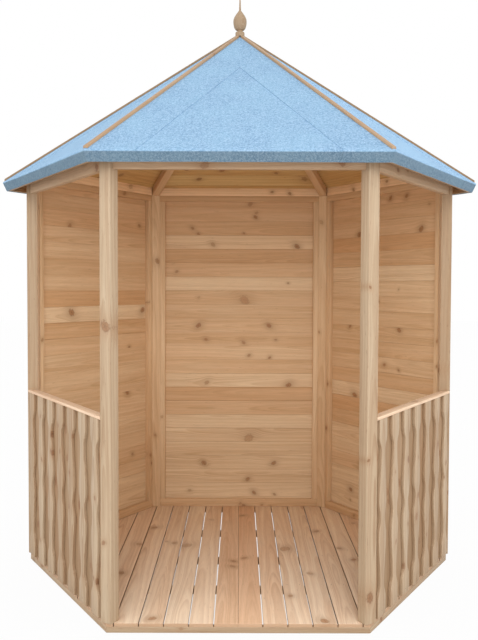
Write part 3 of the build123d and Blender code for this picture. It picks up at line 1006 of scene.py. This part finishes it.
def eavePoint(plumb, level):
    # where the line this far under the roof meets the one this far in from the turned-down edge
    inwards = (level + plumb * flapTilt) / (1 + flapTilt * faceSlope)
    return (eaveApothem - inwards, eaveHeight + faceSlope * inwards - plumb)


def makeFascias():
    piece = newPiece("fasciaBoards")
    draw = piece["random"]
    rise = roof["fasciaRise"]
    outline = [eavePoint(boardPlumb, feltLevel), flapPoint(rise, feltLevel),
               flapPoint(rise, fasciaLevel), eavePoint(boardPlumb, fasciaLevel)]
    middle = sum(height for out, height in outline) / 4
    section = [(height - middle, out) for out, height in outline]
    for azimuth in sides.values():
        block = easeEdges(evenBlock(section, lambda y, z: z * tan30 - fit["mitre"]), eaves["fasciaEasing"])
        tone, knots = draw.uniform(-0.3, 0.1), looseKnots(draw, 0.5, 0.015, chance=0.4)
        addBlock(piece, block, standing(alongDir(azimuth), up, up * middle), tone, warm=0.2, knots=knots)
    finishPiece(piece, planedTimber, "planed_timber", "fascia_boards")


def ceilingReach(down, out):
    # half length of a roof board, mitred at the hips, this far down the slope from the apex
    return (down * faceCos + out * faceSin) * tan30 - fit["mitre"]


def makeCeiling():
    cover, lastStart, tones = ceiling["cover"], -ceiling["lastStart"], ceiling["tones"]
    under, over = -roof["felt"] - roof["board"], -roof["felt"]
    for sideName, azimuth in sides.items():
        piece = newPiece("roofBoards_" + sideName)
        draw = piece["random"]
        upSlope = up * faceSin - outDir(azimuth) * faceCos
        lowEdge, count = (feltLevel - eaveApothem) / faceCos, 0
        while lowEdge < lastStart:
            width = min(cover, -ceiling["topEdge"] - lowEdge)
            middle = lowEdge + width / 2
            section = matchedSection(width, under, over, lowEdge + cover < lastStart, ceiling["chamfer"])
            block = evenBlock(section, lambda y, z: ceilingReach(-y - middle, z))
            tone, warm = boardTones[tones[(count + azimuth // 30) % len(tones)]]
            half = ceilingReach(-middle, 0)
            knots = []
            if half > ceiling["leastKnotty"]:
                knots = looseKnots(draw, half, 0.03, chance=0.45, small=0.006, big=0.013)
            place = standing(alongDir(azimuth), upSlope, up * apex + upSlope * middle)
            addBlock(piece, block, place, tone * ceiling["toneShare"], warm, knots)
            lowEdge += cover
            count += 1
        finishPiece(piece, shadedRoofTimber, "roof_boards", "roof_boards_" + sideName)


makeRafters()
makeBattens()
makeApexBlock()
makePlates()
makeFascias()
makeCeiling()
print("roof timbers made")

feltSizes = {
    "start": 0.013,             # how far out from the middle the felt begins
    "capWidth": 0.178,          # each side of a hip, measured square to it
    "capUnder": -0.0003,
    "edgeRound": 0.004,
    "flapShadeFade": (0.007, 0.002),     # how far under the eaves the painted shade on the turned-down edge is full, and where it starts
    "slopeRows": 46,
    "flapRows": 6,
    "columns": 44,
    "capColumns": 14,
    "wave": 0.0009,
    "edgeWave": 0.0012,
}
feltPaint = {
    "low": (104, 142, 176), "high": (156, 187, 214), "cloud": (146, 184, 210),
    # edge is painted shade, laid over the turned-down edge
    "chip": (188, 212, 232), "pit": (84, 112, 138), "edge": (194, 190, 184),
}
# how much paler each roof face is painted, darker below 0: painted light and shade for how it faces the
# lamps
feltFaceLight = {"front": -0.2, "front_left": 0.6, "front_right": 1.6, "back_right": 0.5, "back_left": 0.8}


def feltMaterial():
    material, tree = startMaterial("mineralFelt")
    paint = {key: linear(*value) for key, value in feltPaint.items()}
    place = seededPlace(tree)
    tone = split(readAttribute(tree, "look"))[0]
    level = split(readAttribute(tree, "grain"))[1]
    mottle = patternAt(place, (120, 120, 120), 4, 0.68)
    clouds = patternAt(place, (5, 5, 5), 3, 0.55)
    grit = patternAt(place, (300, 300, 300), 2, 0.6)
    chips = Value(addNode(tree, "ShaderNodeTexVoronoi", {"Vector": place, "Scale": 620.0}), "Color")
    chipTone = split(chips)[0]
    colour = blendOf(mottle.ease(0.30, 0.70), paint["low"], paint["high"])
    colour = colour.mixed(paint["cloud"], clouds.ease(0.35, 0.7) * 0.35)
    colour = colour.mixed(paint["chip"], chipTone.ease(0.78, 0.9) * 0.45)
    colour = colour.mixed(paint["pit"], chipTone.ease(0.16, 0.05) * 0.5)
    # the turned-down edge is painted greyer and darker, painted shade, and each face's colour is scaled by
    # its tone, painted light and shade
    full, start = feltSizes["flapShadeFade"]
    turned = level.ease(eaveHeight - full, eaveHeight - start, 1.0, 0.0)
    colour = colour.mixed(paint["edge"], turned, "MULTIPLY").dimmed(tone * 0.1 + 1.0)
    height = chipTone * 0.6 + grit * 0.6
    rough = grit.ease(0.2, 0.8, 0.82, 0.95)
    endMaterial(tree, colour, rough, height, 0.5, 0.0012, {"Specular IOR Level": 0.2})
    return material


def between(first, second, share):
    return [start + (end - start) * share for start, end in zip(first, second)]


def feltProfile():
    # outer line of the felt from near the apex to the foot of its turned-down edge:
    # how far out and how high, then the way its face looks
    flapLength = sqrt(roof["flapLean"] ** 2 + roof["flapDrop"] ** 2)
    flapOut, flapUp = -roof["flapLean"] / flapLength, -roof["flapDrop"] / flapLength
    start, back = feltSizes["start"], feltSizes["edgeRound"]
    top, corner = (start, apex - faceSlope * start), (eaveApothem, eaveHeight)
    slopeEnd = (eaveApothem - faceCos * back, eaveHeight + faceSin * back)
    flapStart = (eaveApothem + flapOut * back, eaveHeight + flapUp * back)
    foot = (eaveApothem - roof["flapLean"], eaveHeight - roof["flapDrop"])
    slopeLook, flapLook = (faceSin, faceCos), (-flapUp, flapOut)
    rows, flapRows = feltSizes["slopeRows"], feltSizes["flapRows"]
    line = [(*between(top, slopeEnd, step / rows), *slopeLook) for step in range(rows + 1)]
    for share in (0.25, 0.5, 0.75):
        curve = between(between(slopeEnd, corner, share), between(corner, flapStart, share), share)
        line.append((*curve, *Vector(between(slopeLook, flapLook, share)).normalized()))
    return line + [(*between(flapStart, foot, step / flapRows), *flapLook) for step in range(flapRows + 1)]


def feltWave(x, y, azimuth):
    face = azimuth * 0.37       # each face has waves of its own
    wide = noise.noise(Vector((x * 6, y * 6, face)))
    tight = noise.noise(Vector((x * 21, y * 21, 3 + face)))
    return feltSizes["wave"] * (0.75 * wide + 0.35 * tight)


def feltLayer(block, profile, reaches, columns, offset, azimuth):
    # rows of points, each row a line across the face at one profile point
    rows = []
    for index, ((out, height, lookOut, lookUp), (low, high)) in enumerate(zip(profile, reaches)):
        row = []
        for column in range(columns + 1):
            x = low + (high - low) * column / columns
            lift = offset + feltWave(x, -out - index * 0.0001, azimuth)
            outwards, level = out + lookOut * lift, height + lookUp * lift
            if index == len(profile) - 1:
                level += feltSizes["edgeWave"] * noise.noise(Vector((x * 9, 7, azimuth)))
            # both edges that lie on a hip keep to the mitre
            row.append(block.verts.new((x / out * outwards, level, outwards)))
        rows.append(row)
    return rows


def feltSheet(profile, reaches, columns, under, over, azimuth):
    block = bmesh.new()
    outer, inner = [feltLayer(block, profile, reaches, columns, offset, azimuth) for offset in (over, under)]
    for row in range(len(profile) - 1):
        above, aboveNext, below, belowNext = outer[row], outer[row + 1], inner[row], inner[row + 1]
        for column in range(columns):
            after = column + 1
            block.faces.new((above[column], above[after], aboveNext[after], aboveNext[column]))
            block.faces.new((below[column], belowNext[column], belowNext[after], below[after]))
        block.faces.new((above[0], aboveNext[0], belowNext[0], below[0]))
        block.faces.new((above[-1], below[-1], belowNext[-1], aboveNext[-1]))
    for column in range(columns):
        after = column + 1
        block.faces.new((outer[0][column], inner[0][column], inner[0][after], outer[0][after]))
        block.faces.new((outer[-1][column], outer[-1][after], inner[-1][after], inner[-1][column]))
    bmesh.ops.recalc_face_normals(block, faces=block.faces)
    return block


def makeFelt():
    profile = feltProfile()
    mitres = [point[0] * tan30 for point in profile]
    capReach = feltSizes["capWidth"] / cos(atan(faceCos * tan30))
    for sideName, azimuth in sides.items():
        piece = newPiece("roofFelt_" + sideName)
        place = standing(alongDir(azimuth), up, Vector((0, 0, 0)))
        tone = feltFaceLight.get(sideName, 0.0)
        reaches = [(-mitre, mitre) for mitre in mitres]
        sheet = feltSheet(profile, reaches, feltSizes["columns"], -roof["felt"], 0.0, azimuth)
        addBlock(piece, sheet, place, tone)
        # a strip folded over each hip lies on top, and reaches down this face from the hip
        for hand in (-1, 1):
            reaches = [(hand * max(0.0, mitre - capReach), hand * mitre) for mitre in mitres]
            sheet = feltSheet(profile, reaches, feltSizes["capColumns"],
                              feltSizes["capUnder"], hipSizes["capFelt"], azimuth)
            addBlock(piece, sheet, place, tone)
        finishPiece(piece, mineralFelt, "roof_felt", "roof_felt_" + sideName)


mineralFelt = feltMaterial()
makeFelt()
print("roofing felt made")

finialSizes = {
    "dowel": 0.009,
    "dowelEasing": 0.0015,
    "collar": 0.0225,
    "collarHeight": 0.018,
    "collarRound": 0.0045,
    "hollow": ((0.0015, 0.001), (0.004, -0.0015)),      # height over the collar, radius past the neck
    "neck": 0.0146,
    "neckHeight": 0.026,
    "bulb": 0.033,
    "bulbHeight": 0.069,
    "bulbEnd": 0.124,
    "spike": 0.005,
    "spikeCurve": 1.1,
    "tip": 0.0025,
    "tipEdge": ((-0.004, 0.0004), (-0.001, 0.0)),       # height over the top, radius past the tip
    "bulbSteps": 12,
    "spikeSteps": 16,
    "segments": 56,
}


def turnedBlock(profile, segments):
    # profile is (height, radius) from the foot up; x is up
    turns = [2 * pi * step / segments for step in range(segments)]
    return loopBlock([[(height, radius * cos(turn), radius * sin(turn)) for turn in turns]
                      for height, radius in profile])


def roundedStep(low, high, radius, rounding):
    # a turned bead or collar between two heights
    points = []
    for centre, start in ((low + rounding, -90), (high - rounding, 0)):
        for turn in range(start, start + 91, 30):
            angle = radians(turn)
            points.append((centre + rounding * sin(angle), radius - rounding + rounding * cos(angle)))
    return points


def makeFinial():
    # heights are measured from the apex
    piece = newPiece("finial")
    dowel, neck, bulb, spike, tip = (finialSizes[key] for key in ("dowel", "neck", "bulb", "spike", "tip"))
    collarHeight, neckHeight, bulbHeight, bulbEnd = (
        finialSizes[key] for key in ("collarHeight", "neckHeight", "bulbHeight", "bulbEnd"))
    foot, seat, top = finialLow.z - apex, -hipSlope * roof["hole"], finialHigh.z - apex
    easing, steps, spikeSteps = (finialSizes[key] for key in ("dowelEasing", "bulbSteps", "spikeSteps"))
    profile = [(foot, dowel - easing), (foot + easing, dowel), (seat, dowel)]
    profile += roundedStep(seat, collarHeight, finialSizes["collar"], finialSizes["collarRound"])
    profile += [(collarHeight + rise, neck + past) for rise, past in finialSizes["hollow"]]
    profile.append((neckHeight, neck))
    for step in range(1, steps + 1):
        turn = pi / 2 * step / steps
        height = neckHeight + (bulbHeight - neckHeight) * (1 - cos(turn))
        profile.append((height, neck + (bulb - neck) * sin(turn)))
    for step in range(1, spikeSteps + 1):
        share = step / spikeSteps
        radius = spike + (bulb - spike) * cos(pi / 2 * share) ** finialSizes["spikeCurve"]
        profile.append((bulbHeight + (bulbEnd - bulbHeight) * share, radius))
    profile += [(top + rise, tip + past) for rise, past in finialSizes["tipEdge"]] + [(top, tip / 2)]
    block = turnedBlock(profile, finialSizes["segments"])
    addBlock(piece, block, standing(up, toRight, up * apex), tone=0.1, warm=0.2)
    finishPiece(piece, turnedTimber, "turned_timber", "finial")


makeFinial()
print("finial made")

nailSizes = {
    # radius of the head, how far it stands proud and how deep its seat is
    "floor": (0.0022, 0.0004, 0.0006),
    "face": (0.0022, 0.0005, 0.0002),
    "batten": (0.0026, 0.0006, 0.0002),
    "head": ((0.0, 1.0), (0.7, 0.8), (1.0, 0.4)),       # shares of the height and the radius
    "neck": (-0.002, 0.9),
    "segments": 8,
    "floorPair": 0.028,         # either side of a board's middle
    "floorEnd": 0.02,           # least distance from a board's end
    "floorSide": 0.06,          # and from the floor's corner to the last board's start
    "picketFoot": 0.024,
    "picketHead": 0.022,
    "wallEnd": 0.018,
    "wallTop": 0.005,
    "battenFirst": 0.11,
    "battenPitch": 0.2,
    "battenNails": 6,
}


def nailMaterial():
    material, tree = startMaterial("nailMetal")
    dull = patternAt(seededPlace(tree), (400, 400, 400), 3)
    colour = blendOf(dull.ease(0.35, 0.7), linear(150, 142, 132), linear(96, 86, 76))
    endMaterial(tree, colour, dull.ease(0.3, 0.7, 0.42, 0.65), dull, 0.3, 0.0003, {"Metallic": 0.85})
    return material


def floorSpots():
    # each spot is the place of a nail and the way that its head faces
    for hand in (-1, 1):
        start = floorSizes["middleGap"] / 2
        while start < side - nailSizes["floorSide"]:
            middle = start + (floorSizes["boardPitch"] - floorSizes["gap"]) / 2
            reach = deckReach(middle + nailSizes["floorPair"]) - nailSizes["floorEnd"]
            for position in floorSizes["bearersAt"]:
                for across in (middle - nailSizes["floorPair"], middle + nailSizes["floorPair"]):
                    if abs(position) < reach:
                        yield Vector((hand * across, position, deckTop)), up
            start += floorSizes["boardPitch"]


def picketSpots():
    for azimuth, hand in balustrades.values():
        for step in range(balustrade["pickets"]):
            for height in (deckTop + nailSizes["picketFoot"], picketTop - nailSizes["picketHead"]):
                across = picketPlace(step, hand)
                yield onSide(azimuth, -balustrade["thickness"], across, height), outDir(azimuth)


def wallSpots():
    for sideName in wallSides:
        azimuth = sides[sideName]
        height = wallLow.z + firstBoards.get(sideName, boarding["cover"]) - boarding["cover"] / 2
        while height < wallHigh.z - nailSizes["wallTop"]:
            for hand in (-1, 1):
                across = hand * (endAt(0) - nailSizes["wallEnd"])
                yield onSide(azimuth, -boarding["thickness"], across, height), outDir(azimuth)
            height += boarding["cover"]


def battenSpots():
    crown = apex + battenFoot + hipSizes["battenHeight"]
    for azimuth in corners.values():
        for step in range(nailSizes["battenNails"]):
            out = nailSizes["battenFirst"] + step * nailSizes["battenPitch"]
            facing = (outDir(azimuth) * hipSlope + up) / hipLength
            yield outDir(azimuth) * out + up * (crown - hipSlope * out), facing


def makeNails(name, kind, spots):
    piece = newPiece(name)
    radius, proud, sunk = nailSizes[kind]
    depth, share = nailSizes["neck"]
    profile = [(depth, radius * share)]
    profile += [(proud * rise, radius * reach) for rise, reach in nailSizes["head"]]
    for spot, facing in spots:
        aside = facing.orthogonal().normalized()
        block = turnedBlock(profile, nailSizes["segments"])
        addBlock(piece, block, standing(facing, aside, spot - facing * sunk))
    finishPiece(piece, nailMetal, None)


nailMetal = nailMaterial()
makeNails("floorNails", "floor", floorSpots())
makeNails("picketNails", "face", picketSpots())
makeNails("wallNails", "face", wallSpots())
makeNails("battenNails", "batten", battenSpots())
print("nails made")

# the stage, its light and the camera
studio = {
    "floorSize": 60,
    "floorAlbedo": (0.70, 0.70, 0.70, 1),
    "floorGlow": 0.95,
    "world": 1.15,
    # name, power, size, place and the point that it looks at
    "lamps": [("keyLight", 24, (4.0, 3.0), (0.0, -4.8, 5.4), (0, 0, 1.4)),
              ("frontLight", 114, (4.0, 2.0), (0.0, -6.6, 3.3), (0, 0, 0.8)),
              ("fillLight", 58, (4.0, 2.4), (-5.6, -5.2, 1.5), (0, 0, 1.0)),
              ("fillLight", 78, (4.0, 2.4), (5.6, -5.2, 1.5), (0, 0, 1.0))],
    "lens": 47.255,
    "sensor": 36,
    "cameraAt": (-0.001, -4.2003, 1.3772),
    "cameraTurn": (90 - 2.258, -0.173, 0),      # degrees
}
white = (1, 1, 1, 1)


def makeStudioFloor():
    half = studio["floorSize"] / 2
    mesh = bpy.data.meshes.new("studioFloor")
    mesh.from_pydata([(x, y, 0) for x, y in boxSection(-half, half, -half, half)], [], [(0, 1, 2, 3)])
    floor = addToScene("studioFloor", mesh)
    material, tree = startMaterial("paleFloor")
    seen = Value(addNode(tree, "ShaderNodeLightPath"), "Is Camera Ray")
    plain = Value(addNode(tree, "ShaderNodeBsdfDiffuse", {"Color": studio["floorAlbedo"]}))
    glow = Value(addNode(tree, "ShaderNodeEmission", {"Color": white, "Strength": 1.0}))
    both = addNode(tree, "ShaderNodeMixShader", {0: seen * studio["floorGlow"], 1: plain, 2: glow})
    addNode(tree, "ShaderNodeOutputMaterial", {0: Value(both)})
    mesh.materials.append(material)


def makeWorld():
    world = bpy.data.worlds.new("studio")
    world.use_nodes = True
    tree = world.node_tree
    tree.nodes.clear()
    seen = Value(addNode(tree, "ShaderNodeLightPath"), "Is Camera Ray")
    strength = seen.ease(0.0, 1.0, studio["world"], 1.0)
    back = addNode(tree, "ShaderNodeBackground", {"Color": white, "Strength": strength})
    addNode(tree, "ShaderNodeOutputWorld", {0: Value(back)})
    bpy.context.scene.world = world


def makeLamp(name, power, size, place, target):
    data = bpy.data.lights.new(name, "AREA")
    data.energy = power
    data.shape = "RECTANGLE"
    data.size, data.size_y = size
    lamp = addToScene(name, data)
    lamp.location = place
    lamp.rotation_euler = (Vector(target) - Vector(place)).to_track_quat("-Z", "Y").to_euler()


def makeCamera():
    data = bpy.data.cameras.new("camera")
    data.lens = studio["lens"]
    data.sensor_width = studio["sensor"]
    data.sensor_fit = "AUTO"
    camera = addToScene("camera", data)
    camera.location = studio["cameraAt"]
    camera.rotation_euler = [radians(angle) for angle in studio["cameraTurn"]]
    bpy.context.scene.camera = camera


makeStudioFloor()
makeWorld()
for lamp in studio["lamps"]:
    makeLamp(*lamp)
makeCamera()
bpy.context.scene.view_settings.view_transform = "Standard"
